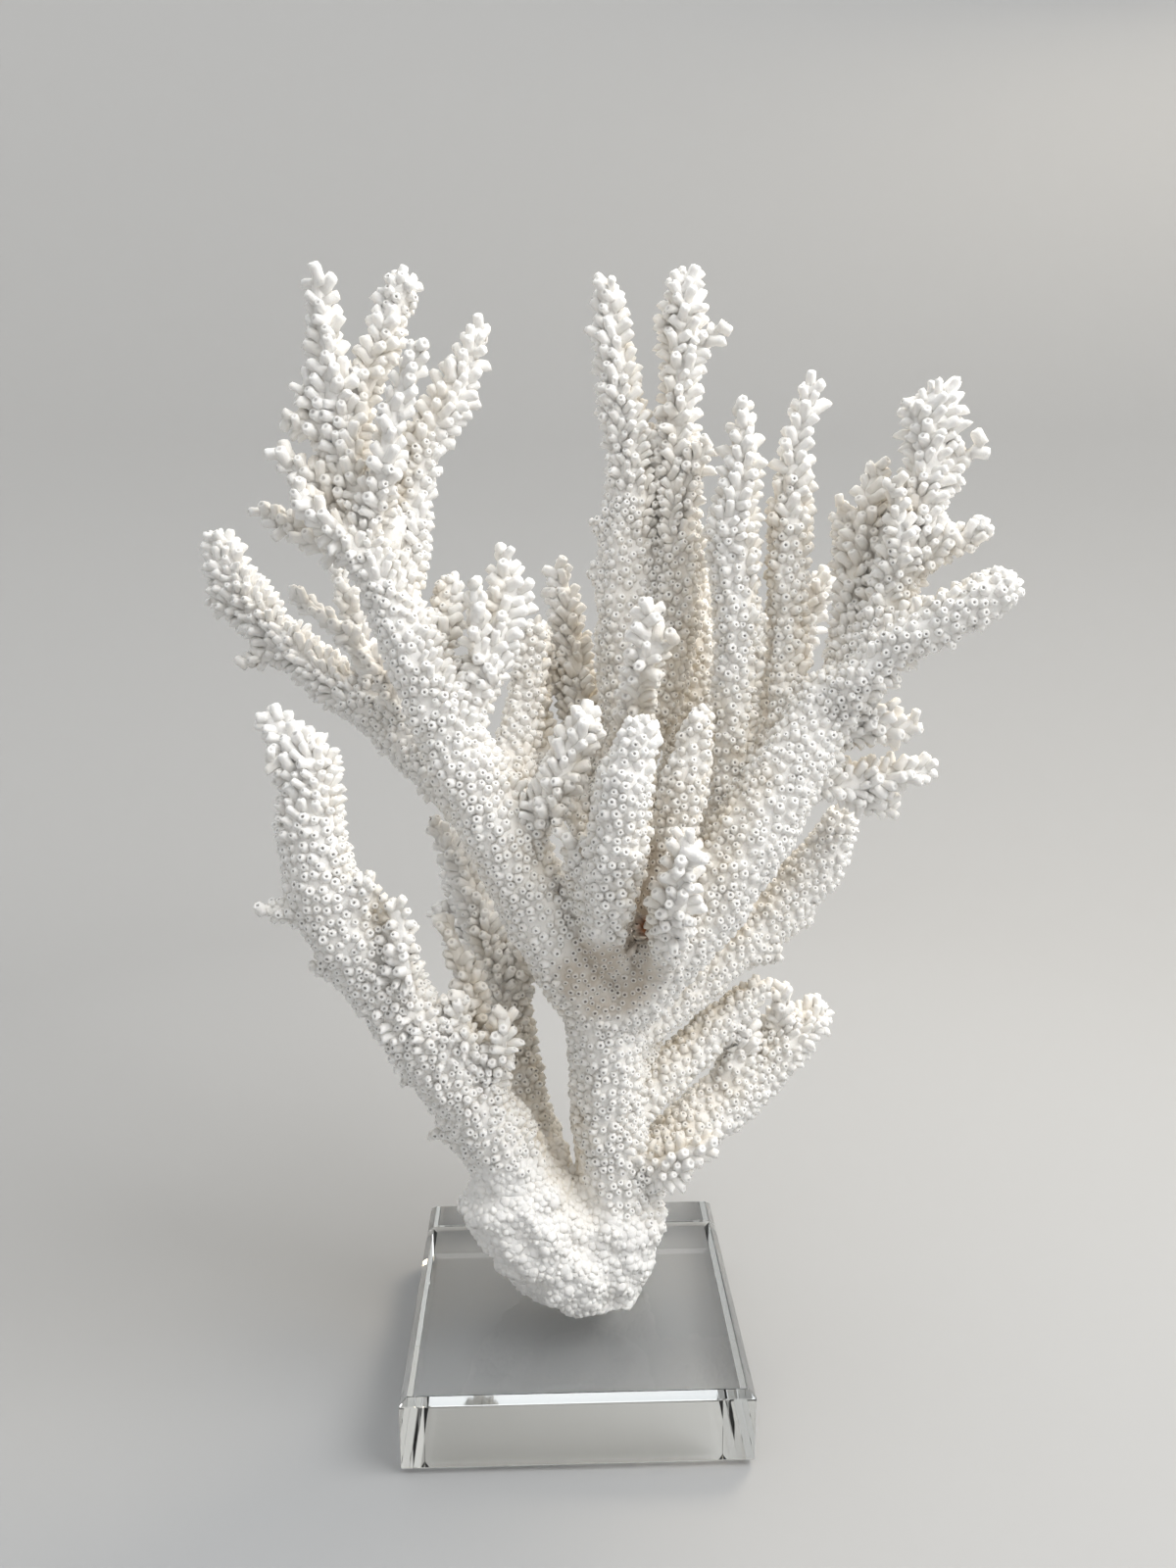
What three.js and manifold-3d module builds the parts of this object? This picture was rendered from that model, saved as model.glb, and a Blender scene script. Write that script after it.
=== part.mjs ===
// A branching stony coral, bleached white, that stands on a clear acrylic block with bevelled edges.
// Millimetres, +Z up, the front of the colony towards -Y.
// The origin is the middle of the block's underside.
import * as THREE from "three";
import { mergeVertices } from "three/addons/utils/BufferGeometryUtils.js";
import Module from "manifold-3d";

const wasm = await Module();
wasm.setup();

// ---- Driving dimensions ----

const BLOCK_SIDE = 101.6; // a four inch square
const BLOCK_HEIGHT = 24;
const BLOCK_BEVEL = 2;
const GAP = 0.35; // clearance that neighbouring pieces keep
const RING_STEP = 17; // distance between a limb's rings of facets
const LIMB_SIDES = 9;
const FINGER_SIDES = 7;
const TWIG_SIDES = 5;
const TWIG_RADIUS = 9; // a twig thicker than this at its root has as many sides as its limb

// ---- Finishes ----

const coralWhite = { color: 0xf3f0e8, roughness: 0.85, metalness: 0 };
const clearAcrylic = { color: 0xeaf2f0, roughness: 0.04, metalness: 0, transparent: true, opacity: 0.3 };

// ---- The colony ----

// Every piece is one fork of the colony. A route runs from inside the parent limb to the tip, and each
// of its points is [x, y, z, radius], the radius reaching the rims of the cups that cover the limb.
// The twigs are short side shoots, given in the same way.
// A piece gives way to the pieces listed before it, so a fork ends where its parent's surface begins.

const foot = [
  {
    name: "holdfast",
    sides: LIMB_SIDES,
    route: [[8, -2, 16, 12], [4, -3, 31, 17], [-13, -4, 50, 18.5], [-20, -6, 62, 17.5], [-24, -7, 75, 13]],
    twigs: [
      [[7, -2, 16, 12], [8, -2, 33, 15.5], [14, -1, 48, 16.5], [17, 0, 65, 14.5]],
      [[-2, -3, 50, 11], [-14, -4, 50, 12], [-25, -6, 49, 12]],
    ],
  },
  {
    name: "trunk",
    sides: LIMB_SIDES,
    route: [[15, 0, 52, 13], [12, 0, 75, 12.5], [10, -2, 91, 11.5], [10, -3, 104, 11.5], [9, -4, 118, 12.5],
      [8, -5, 133, 11]],
    twigs: [],
  },
];

const lowerLimbs = [
  {
    name: "lower_left_limb",
    sides: LIMB_SIDES,
    route: [[-18, -5, 65, 13.5], [-27, -10, 89, 12], [-39, -18, 111, 11], [-49, -24, 130, 11],
      [-61, -30, 153, 11], [-70, -33, 174, 10], [-71, -32, 190, 9], [-70, -30, 202, 7.5],
      [-75, -26, 211, 5.5], [-85, -22, 216, 3.5]],
    twigs: [
      [[-47, -28, 133, 5.5], [-47, -36, 151, 5], [-49, -37, 170, 3]],
      [[-61, -33, 156, 5.5], [-57, -38, 167, 5], [-55, -38, 176, 3]],
      [[-40, -18, 112, 5], [-52, -24, 107, 3]],
      [[-30, -10, 112, 5.5], [-31, -8, 134, 5], [-40, -7, 154, 2.5]],
      [[-26, -13, 101, 6], [-22, -20, 117, 5.5], [-20, -21, 130, 3.5]],
      [[-32, -17, 110, 5], [-32, -24, 124, 4.5], [-34, -25, 138, 3]],
      [[-70, -32, 198, 5], [-77, -33, 203, 4], [-83, -34, 207, 2.5]],
      [[-60, -28, 141, 5], [-68, -32, 145, 3.5], [-75, -34, 148, 2]],
      [[-28, -10, 85, 5.5], [-39, -13, 86, 3.5], [-46, -15, 87, 2]],
      [[-69, -32, 162, 6.5], [-80, -36, 163, 3.5], [-86, -36, 166, 2]],
    ],
  },
  {
    name: "lower_left_back_limb",
    sides: FINGER_SIDES,
    route: [[-13, 8, 66, 8], [-18, 16, 93, 7.5], [-23, 22, 118, 7.5], [-28, 25, 137, 7], [-33, 27, 153, 5.5],
      [-40, 28, 167, 4], [-46, 28, 175, 2]],
    twigs: [
      [[-30, 25, 144, 4.5], [-35, 24, 159, 4], [-36, 23, 167, 2]],
      [[-21, 20, 112, 5.5], [-14, 20, 130, 5.5], [-11, 19, 147, 3]],
    ],
  },
  {
    name: "low_back_shoot",
    sides: FINGER_SIDES,
    route: [[-2, 12, 44, 7], [-7, 22, 56, 6.5], [-10, 25, 66, 5.5], [-9, 26, 75, 3]],
    twigs: [
      [[-7, 20, 52, 4.5], [-13, 18, 60, 3.5], [-17, 18, 66, 2.5]],
    ],
  },
  {
    name: "low_right_limb",
    sides: FINGER_SIDES,
    route: [[20, 4, 61, 9], [34, 14, 67, 10.5], [49, 24, 75, 11], [63, 30, 84, 10.5], [75, 34, 95, 10],
      [84, 36, 102, 7.5], [89, 36, 101, 4]],
    twigs: [
      [[70, 32, 92, 6], [70, 28, 110, 4.5], [70, 28, 118, 2.5]],
      [[49, 24, 76, 7], [55, 24, 93, 6.5], [60, 26, 106, 4]],
    ],
  },
  {
    name: "low_right_front_shoot",
    sides: FINGER_SIDES,
    route: [[18, -2, 62, 7], [31, -8, 72, 6], [39, -9, 77, 5], [46, -9, 82, 2.5]],
    twigs: [],
  },
  {
    name: "lower_right_limb",
    sides: FINGER_SIDES,
    route: [[16, 0, 110, 7.5], [29, 8, 118, 8.5], [47, 18, 129, 9], [61, 24, 138, 9], [73, 28, 149, 9],
      [83, 30, 159, 8.5], [87, 30, 169, 7.5], [90, 30, 177, 4]],
    twigs: [
      [[64, 24, 136, 5.5], [73, 26, 138, 5], [80, 28, 140, 2.5]],
      [[53, 20, 128, 5.5], [62, 18, 127, 4.5], [67, 16, 133, 2.5]],
    ],
  },
  {
    name: "lower_right_inner_shoot",
    sides: FINGER_SIDES,
    route: [[16, 2, 84, 7], [25, 6, 90, 7.5], [36, 14, 97, 7.5], [46, 19, 104, 7.5], [55, 22, 112, 6.5],
      [65, 25, 118, 3.5]],
    twigs: [],
  },
];

const leftSide = [
  {
    name: "left_limb",
    sides: LIMB_SIDES,
    route: [[8, -5, 125, 12.5], [-3, -9, 142, 12], [-12, -12, 161, 11.5], [-21, -14, 180, 11],
      [-29, -14, 195, 11], [-36, -12, 211, 9.5], [-43, -10, 227, 9], [-50, -7, 242, 8], [-56, -4, 257, 7.5],
      [-60, -2, 273, 6.5], [-63, 0, 288, 6], [-65, 0, 299, 5]],
    twigs: [
      [[-64, 0, 295, 5], [-70, -2, 301, 4.5], [-76, -3, 302, 3]],
      [[-64, 0, 287, 5.5], [-73, -2, 293, 5], [-81, -3, 294, 3]],
      [[-61, -2, 271, 6], [-72, -4, 279, 5.5], [-83, -6, 286, 3]],
      [[-57, -6, 255, 5], [-66, -12, 265, 4.5], [-76, -15, 278, 3]],
      [[-56, 0, 254, 5.5], [-79, 8, 264, 5], [-92, 10, 271, 3]],
      [[-42, -8, 222, 6], [-37, 0, 238, 6.5], [-35, 4, 252, 4]],
    ],
  },
  {
    name: "left_outer_finger",
    sides: FINGER_SIDES,
    route: [[-63, 0, 289, 5.5], [-65, -1, 305, 5], [-67, -2, 314, 5], [-67, -3, 324, 4.5], [-68, -3, 333, 3.5]],
    twigs: [],
  },
  {
    name: "left_forked_finger",
    sides: FINGER_SIDES,
    route: [[-62, 2, 286, 5], [-57, 4, 304, 4.5], [-52, 5, 315, 5.5], [-48, 6, 324, 6], [-46, 6, 334, 4.5]],
    twigs: [],
  },
  {
    name: "left_front_finger",
    sides: FINGER_SIDES,
    route: [[-56, -5, 262, 5], [-50, -10, 284, 4], [-47, -11, 297, 4], [-43, -12, 305, 4], [-39, -12, 315, 2.5]],
    twigs: [],
  },
  {
    name: "left_inner_finger",
    sides: FINGER_SIDES,
    route: [[-49, -6, 243, 5.5], [-45, 2, 263, 6], [-45, 4, 278, 6], [-40, 6, 291, 6], [-33, 8, 302, 6],
      [-28, 9, 313, 4.5], [-25, 10, 322, 2.5]],
    twigs: [],
  },
  {
    name: "left_bushy_shoot",
    sides: FINGER_SIDES,
    route: [[-34, -12, 206, 6], [-26, -9, 221, 6], [-21, -6, 235, 6], [-19, -4, 248, 5.5], [-19, -4, 260, 3.5]],
    twigs: [
      [[-21, -6, 232, 4], [-15, -4, 243, 3.5], [-12, -4, 250, 2]],
      [[-26, -10, 222, 4], [-27, -14, 238, 3.5], [-27, -15, 251, 2]],
    ],
  },
  {
    name: "left_back_shoot",
    sides: FINGER_SIDES,
    route: [[-20, -10, 176, 6], [-18, 14, 194, 6.5], [-14, 28, 214, 6], [-11, 30, 236, 4]],
    twigs: [],
  },
  {
    name: "back_left_limb",
    sides: FINGER_SIDES,
    route: [[-24, -8, 180, 7.5], [-39, 14, 190, 8], [-55, 30, 202, 8], [-75, 42, 215, 8], [-93, 50, 229, 7.5],
      [-107, 54, 243, 8], [-113, 56, 257, 7], [-114, 56, 265, 4]],
    twigs: [
      [[-99, 51, 233, 6], [-112, 52, 240, 5], [-118, 52, 244, 3]],
      [[-90, 48, 226, 5.5], [-101, 46, 222, 4], [-108, 45, 221, 2]],
      [[-53, 28, 205, 5.5], [-58, 20, 222, 4], [-66, 16, 232, 4], [-83, 12, 247, 2.5]],
      [[-60, 34, 207, 5], [-66, 36, 231, 4.5], [-73, 36, 253, 2.5]],
    ],
  },
];

const middle = [
  {
    name: "right_limb",
    sides: LIMB_SIDES,
    route: [[8, -4, 121, 12.5], [23, -6, 136, 13], [35, -6, 151, 13], [46, -5, 166, 13], [56, -4, 182, 12],
      [66, -2, 198, 11], [74, 0, 213, 10], [82, 1, 225, 8.5]],
    twigs: [],
  },
  {
    name: "tall_left_column",
    sides: FINGER_SIDES,
    route: [[11, 0, 128, 9], [16, 16, 152, 9], [17, 28, 178, 9.5], [18, 32, 203, 9.5], [18, 35, 228, 10],
      [18, 37, 249, 10], [19, 38, 270, 9], [19, 38, 288, 8], [15, 38, 308, 6.5], [13, 38, 324, 5.5],
      [11, 38, 340, 3]],
    twigs: [
      [[16, 38, 262, 5], [5, 38, 267, 3]],
      [[16, 38, 246, 5.5], [5, 38, 252, 3]],
      [[19, 38, 285, 4.5], [12, 38, 294, 2.5]],
    ],
  },
  {
    name: "tall_right_column",
    sides: FINGER_SIDES,
    route: [[18, 31, 190, 7.5], [28, 32, 212, 9], [32, 34, 237, 9.5], [34, 35, 261, 9], [33, 36, 285, 6.5],
      [34, 36, 299, 6], [34, 36, 314, 6], [35, 36, 326, 7], [34, 36, 342, 4.5]],
    twigs: [
      [[36, 36, 313, 4], [42, 33, 319, 3.5], [47, 32, 326, 2]],
      [[34, 36, 319, 3.5], [26, 36, 327, 2]],
      [[33, 34, 269, 5], [39, 30, 282, 5], [43, 28, 292, 2.5]],
    ],
  },
  {
    name: "centre_front_finger",
    sides: FINGER_SIDES,
    route: [[12, -8, 137, 7.5], [9, -20, 153, 8.5], [10, -27, 170, 9], [12, -30, 185, 9], [13, -31, 199, 8],
      [16, -31, 210, 6.5], [20, -31, 216, 3.5]],
    twigs: [],
  },
  {
    name: "centre_right_finger",
    sides: FINGER_SIDES,
    route: [[21, -4, 145, 7], [26, -9, 167, 7], [30, -10, 182, 7], [33, -10, 197, 7], [35, -10, 207, 5.5],
      [37, -10, 215, 3]],
    twigs: [],
  },
  {
    name: "centre_knobby_finger",
    sides: FINGER_SIDES,
    route: [[23, -10, 136, 6.5], [26, -27, 154, 6], [28, -35, 169, 6], [29, -38, 180, 5], [30, -38, 187, 3]],
    twigs: [],
  },
  {
    name: "centre_left_finger",
    sides: FINGER_SIDES,
    route: [[-16, -13, 172, 6], [-8, -19, 189, 6], [-3, -21, 199, 6], [2, -22, 210, 6], [5, -22, 218, 3.5]],
    twigs: [],
  },
  {
    name: "centre_small_finger",
    sides: FINGER_SIDES,
    route: [[2, -10, 148, 5], [1, -23, 172, 4], [-3, -26, 184, 3], [-6, -26, 190, 2]],
    twigs: [],
  },
  {
    name: "centre_upper_finger",
    sides: FINGER_SIDES,
    route: [[17, 30, 190, 6], [19, 10, 212, 5.5], [21, 2, 228, 5.5], [22, 0, 239, 4.5], [22, 0, 247, 2.5]],
    twigs: [
      [[21, 2, 224, 3.5], [27, -2, 231, 3], [30, -3, 235, 1.5]],
    ],
  },
];

const rightSide = [
  {
    name: "slim_inner_finger",
    sides: FINGER_SIDES,
    route: [[44, -4, 160, 6.5], [48, 8, 192, 6.5], [49, 10, 218, 7], [49, 11, 241, 7], [47, 11, 261, 8],
      [47, 11, 271, 7.5], [50, 11, 284, 5], [50, 11, 294, 4], [49, 11, 302, 2]],
    twigs: [],
  },
  {
    name: "slim_outer_finger",
    sides: FINGER_SIDES,
    route: [[62, -2, 190, 6], [65, 8, 215, 6], [65, 14, 235, 6], [64, 15, 253, 6.5], [65, 15, 270, 6],
      [65, 15, 281, 5], [66, 15, 292, 4.5], [69, 15, 302, 4], [70, 15, 308, 2.5]],
    twigs: [],
  },
  {
    name: "right_back_shoot",
    sides: FINGER_SIDES,
    route: [[38, 0, 152, 7], [50, 24, 178, 8], [57, 30, 197, 7], [66, 33, 217, 6.5], [75, 35, 236, 6],
      [81, 37, 252, 4]],
    twigs: [],
  },
  {
    name: "right_tall_finger",
    sides: FINGER_SIDES,
    route: [[79, 0, 215, 7], [87, 0, 233, 7.5], [94, 0, 250, 7.5], [99, 0, 267, 7.5], [101, 0, 282, 7],
      [102, 0, 295, 8], [102, 0, 305, 5]],
    twigs: [
      [[100, 0, 288, 5], [95, 0, 297, 4], [93, 0, 301, 2.5]],
      [[102, 0, 274, 4.5], [108, -2, 281, 4], [113, -3, 285, 3.5], [116, -3, 291, 2]],
      [[94, 0, 254, 7], [104, -4, 262, 8], [111, -7, 264, 6.5], [118, -8, 263, 3.5]],
      [[89, -1, 246, 5], [92, -8, 263, 4.5], [90, -8, 275, 4], [88, -8, 281, 2]],
    ],
  },
  {
    name: "right_inner_finger",
    sides: FINGER_SIDES,
    route: [[79, 2, 216, 6.5], [84, 10, 241, 6.5], [86, 10, 258, 6.5], [88, 10, 274, 5], [89, 10, 285, 3]],
    twigs: [
      [[84, 12, 245, 6], [84, 18, 261, 5.5], [81, 18, 270, 4], [78, 18, 274, 2.5]],
    ],
  },
  {
    name: "right_low_finger",
    sides: FINGER_SIDES,
    route: [[74, -1, 208, 7.5], [83, -7, 223, 7.5], [93, -11, 234, 7.5], [104, -14, 241, 7.5],
      [114, -15, 247, 8], [124, -15, 248, 6.5]],
    twigs: [],
  },
  {
    name: "right_upper_twig",
    sides: FINGER_SIDES,
    route: [[68, 0, 201, 6.5], [82, 2, 206, 6], [91, 0, 208, 6], [100, 0, 208, 5], [104, 0, 208, 2.5]],
    twigs: [
      [[85, 0, 208, 4.5], [91, -4, 213, 3], [93, -5, 217, 2]],
    ],
  },
  {
    name: "right_lower_twig",
    sides: FINGER_SIDES,
    route: [[62, 0, 189, 6.5], [84, 3, 191, 6], [95, 2, 192, 5.5], [103, 2, 194, 5], [109, 2, 195, 3.2]],
    twigs: [
      [[82, 4, 187, 5], [91, 6, 183, 5], [97, 7, 181, 4.5], [100, 7, 180, 3.6]],
    ],
  },
];

const farSide = [
  {
    name: "faint_back_shoot",
    sides: FINGER_SIDES,
    route: [[8, 4, 140, 7], [6, 36, 180, 7], [3, 50, 213, 7], [0, 54, 232, 6], [-2, 55, 247, 5], [-4, 55, 256, 2.5]],
    twigs: [
      [[5, 30, 172, 6], [-10, 40, 190, 7], [-12, 46, 214, 7], [-10, 46, 236, 4]],
    ],
  },
  {
    name: "back_centre_limb",
    sides: FINGER_SIDES,
    route: [[12, 2, 122, 9], [24, 28, 146, 9.5], [37, 50, 174, 9.5], [43, 62, 205, 9], [44, 70, 236, 7.5],
      [44, 74, 258, 4]],
    twigs: [
      [[32, 44, 164, 6], [20, 62, 188, 5.5], [12, 70, 210, 3]],
    ],
  },
  {
    name: "back_right_limb",
    sides: FINGER_SIDES,
    route: [[12, 2, 98, 9.5], [36, 36, 128, 9.5], [54, 56, 160, 9.5], [66, 68, 192, 8.5], [72, 74, 222, 7],
      [74, 76, 240, 4]],
    twigs: [
      [[50, 52, 154, 6], [72, 66, 166, 5], [84, 70, 180, 2.5]],
    ],
  },
  {
    name: "back_lower_limb",
    sides: FINGER_SIDES,
    route: [[-8, 4, 60, 9], [-22, 32, 88, 8.5], [-31, 54, 114, 8], [-38, 70, 140, 7], [-42, 78, 158, 4]],
    twigs: [
      [[-29, 50, 108, 6], [-42, 62, 122, 4.5], [-50, 68, 134, 2.5]],
    ],
  },
];

const colony = [...foot, ...lowerLimbs, ...leftSide, ...middle, ...rightSide, ...farSide];

// ---- Solids ----

// A closed three.js geometry as a manifold-3d solid.
function solidOf(geometry) {
  geometry.deleteAttribute("normal");
  geometry.deleteAttribute("uv");
  const merged = mergeVertices(geometry, 1e-3);
  return new wasm.Manifold(
    new wasm.Mesh({
      numProp: 3,
      vertProperties: merged.attributes.position.array,
      triVerts: merged.index.array,
    }),
  );
}

// The named mesh of a finished solid.
function meshOf(name, solid, finish) {
  const { numProp, numVert, vertProperties, triVerts } = solid.getMesh();
  const positions = new Float32Array(numVert * 3);
  for (let i = 0; i < numVert; i++) {
    positions.set(vertProperties.subarray(i * numProp, i * numProp + 3), i * 3);
  }
  const geometry = new THREE.BufferGeometry();
  geometry.setAttribute("position", new THREE.BufferAttribute(positions, 3));
  geometry.setIndex(new THREE.BufferAttribute(triVerts, 1));
  geometry.computeVertexNormals();
  const mesh = new THREE.Mesh(geometry, new THREE.MeshStandardMaterial(finish));
  mesh.name = name;
  return mesh;
}

// The square block with its top and bottom edges bevelled, fattened all round by grow.
function blockSolid(grow) {
  const half = BLOCK_SIDE / 2 - BLOCK_BEVEL + grow;
  const outline = new THREE.Shape([
    new THREE.Vector2(-half, -half),
    new THREE.Vector2(half, -half),
    new THREE.Vector2(half, half),
    new THREE.Vector2(-half, half),
  ]);
  const geometry = new THREE.ExtrudeGeometry(outline, {
    depth: BLOCK_HEIGHT - 2 * BLOCK_BEVEL + 2 * grow,
    bevelEnabled: true,
    bevelSize: BLOCK_BEVEL,
    bevelThickness: BLOCK_BEVEL,
    bevelSegments: 1,
  });
  geometry.translate(0, 0, BLOCK_BEVEL - grow);
  return solidOf(geometry);
}

// A limb's radius at u, 0 at its root and 1 at its tip, between the radii that its route gives.
function radiusAt(route, u) {
  const place = u * (route.length - 1);
  const before = Math.min(Math.floor(place), route.length - 2);
  return THREE.MathUtils.lerp(route[before][3], route[before + 1][3], place - before);
}

// One shoot: a turned profile with a flat root and a domed tip, bent along its route.
function shootSolid(route, sides, grow) {
  const curve = new THREE.CatmullRomCurve3(
    route.map(([x, y, z]) => new THREE.Vector3(x, y, z)),
    false,
    "centripetal",
  );
  const length = curve.getLength();
  const dome = route.at(-1)[3];
  const rings = Math.max(1, Math.round((length - dome) / RING_STEP));
  const profile = [new THREE.Vector2(0, 0)];
  for (let i = 0; i <= rings; i++) {
    const along = ((length - dome) * i) / rings;
    profile.push(new THREE.Vector2(radiusAt(route, curve.getUtoTmapping(along / length)) + grow, along));
  }
  const shoulder = Math.PI / 4;
  profile.push(
    new THREE.Vector2((dome + grow) * Math.cos(shoulder), length - dome + dome * Math.sin(shoulder)),
  );
  profile.push(new THREE.Vector2(0, length + grow));
  const geometry = new THREE.LatheGeometry(profile, sides);

  const front = new THREE.Vector3(0, 1, 0);
  const vertex = new THREE.Vector3();
  const positions = geometry.attributes.position;
  for (let i = 0; i < positions.count; i++) {
    vertex.fromBufferAttribute(positions, i);
    const u = Math.min(vertex.y / length, 1);
    const tangent = curve.getTangentAt(u);
    const across = tangent.clone().cross(front).normalize();
    const upright = across.clone().cross(tangent);
    const centre = curve.getPointAt(u).addScaledVector(tangent, vertex.y - u * length);
    centre.addScaledVector(across, vertex.x).addScaledVector(upright, vertex.z);
    positions.setXYZ(i, centre.x, centre.y, centre.z);
  }
  return solidOf(geometry);
}

// A whole piece: its main shoot with its twigs grown into it.
function limbSolid({ route, sides, twigs }, grow) {
  let solid = shootSolid(route, sides, grow);
  for (const twig of twigs) {
    const twigSides = twig[0][3] > TWIG_RADIUS ? sides : TWIG_SIDES;
    solid = solid.add(shootSolid(twig, twigSides, grow));
  }
  return solid;
}

// What is left of a limb outside the space that is taken: its largest body, without cut-off scraps.
function outside(solid, taken) {
  const bodies = solid.subtract(taken).decompose();
  bodies.sort((a, b) => b.volume() - a.volume());
  return bodies[0];
}

// ---- Assembly ----

const coral = new THREE.Group();
const block = blockSolid(0);
coral.add(meshOf("acrylic_block", block, clearAcrylic));

let taken = blockSolid(GAP);
for (const limb of colony) {
  coral.add(meshOf(limb.name, outside(limbSolid(limb, 0), taken), coralWhite));
  taken = taken.add(limbSolid(limb, GAP));
}

export default coral;
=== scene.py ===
"""A bleached branching coral on a clear acrylic block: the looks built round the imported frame.

The limbs become one smooth skin that is cut at the forks into a piece for each limb. Thousands of small
cups, modelled once for each form, stand on that skin and lean towards the nearest growing tip.
All lengths are in metres unless a name ends in _mm.
"""

import heapq
import logging
import math
from dataclasses import dataclass, field
from enum import Enum

import bpy
import numpy as np
from mathutils import Matrix, Vector, noise
from mathutils.bvhtree import BVHTree


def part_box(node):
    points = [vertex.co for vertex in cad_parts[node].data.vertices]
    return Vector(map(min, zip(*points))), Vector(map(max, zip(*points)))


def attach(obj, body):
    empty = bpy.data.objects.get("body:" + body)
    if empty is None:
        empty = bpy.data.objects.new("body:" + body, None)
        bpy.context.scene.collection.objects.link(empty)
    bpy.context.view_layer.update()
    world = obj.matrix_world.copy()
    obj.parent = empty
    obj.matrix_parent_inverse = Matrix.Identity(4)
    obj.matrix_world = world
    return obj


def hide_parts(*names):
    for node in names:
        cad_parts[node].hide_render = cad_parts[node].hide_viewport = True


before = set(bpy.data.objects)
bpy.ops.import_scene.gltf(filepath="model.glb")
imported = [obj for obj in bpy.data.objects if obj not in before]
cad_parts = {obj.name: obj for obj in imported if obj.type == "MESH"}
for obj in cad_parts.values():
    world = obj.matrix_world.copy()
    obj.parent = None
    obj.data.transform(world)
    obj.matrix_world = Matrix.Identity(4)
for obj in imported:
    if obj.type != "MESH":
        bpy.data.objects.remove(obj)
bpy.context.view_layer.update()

log = logging.getLogger("coral")

MM = 0.001
SEED = 20
BLOCK = "acrylic_block"
HOLDFAST = "holdfast"

# Short names for the types of sizes and of a node's output.
Pair = tuple[float, float]
Triple = tuple[float, float, float]
Output = bpy.types.NodeSocket


# ---- Small helpers ----


def linear(colour: str) -> tuple[float, float, float, float]:
    """Turns an sRGB hex colour to the linear values that a shader takes.

    Args:
        colour: Six hex digits with a leading hash.

    Returns:
        Linear red, green and blue, and an alpha of 1.
    """
    parts = [int(colour[i : i + 2], 16) / 255 for i in (1, 3, 5)]
    values = [c / 12.92 if c <= 0.04045 else ((c + 0.055) / 1.055) ** 2.4 for c in parts]
    return values[0], values[1], values[2], 1.0


def clear_selection() -> None:
    """Leaves nothing selected and no object in edit mode."""
    if bpy.context.object and bpy.context.object.mode != "OBJECT":
        bpy.ops.object.mode_set(mode="OBJECT")
    bpy.ops.object.select_all(action="DESELECT")


def apply_modifier(piece: bpy.types.Object, kind: str, **settings: object) -> None:
    """Adds a modifier to an object and applies it at once.

    Args:
        piece: The object to change.
        kind: The modifier's type.
        **settings: The modifier's own settings.
    """
    clear_selection()
    piece.select_set(True)
    bpy.context.view_layer.objects.active = piece
    made = piece.modifiers.new(kind.title(), kind)
    for name, value in settings.items():
        setattr(made, name, value)
    bpy.ops.object.modifier_apply(modifier=made.name)


def floor_height() -> float:
    """Gives the height that the coral stays above: a hair over the block's top."""
    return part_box(BLOCK)[1].z + 0.02 * MM


def smoothstep(low: float, high: float, value: np.ndarray) -> np.ndarray:
    """Rises smoothly from 0 at low to 1 at high; low may be the larger."""
    share = np.clip((value - low) / (high - low), 0.0, 1.0)
    return share * share * (3.0 - 2.0 * share)


def unit(vectors: np.ndarray) -> np.ndarray:
    """Scales each row of an array to length 1."""
    return vectors / np.maximum(np.linalg.norm(vectors, axis=1, keepdims=True), 1e-12)


def joined_groups(count: int, pairs: np.ndarray) -> np.ndarray:
    """Groups items that pairs join, directly or through others.

    Args:
        count: How many items there are.
        pairs: Two joined items a row.

    Returns:
        For each item, the lowest one of its group.
    """
    group = np.arange(count)
    a, b = pairs.T
    while True:
        before = group.copy()
        low = np.minimum(group[a], group[b])
        np.minimum.at(group, a, low)
        np.minimum.at(group, b, low)
        group = group[group]
        if np.array_equal(group, before):
            return group


@dataclass(frozen=True)
class Lumps:
    """Smooth unevenness: its height, the distance between its lumps, and a shift that sets it apart."""

    height: float
    size_mm: float
    shift: float = 0.0

    def at(self, points: np.ndarray) -> np.ndarray:
        """Samples the unevenness at points.

        Args:
            points: Places, one a row.

        Returns:
            Values between about minus and plus the height.
        """
        offset = Vector((self.shift, -self.shift, 0.5 * self.shift))
        scale = 1.0 / (self.size_mm * MM)
        return self.height * np.array([noise.noise(Vector(p) * scale + offset) for p in points])


# ---- The skin of the limbs ----


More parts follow.
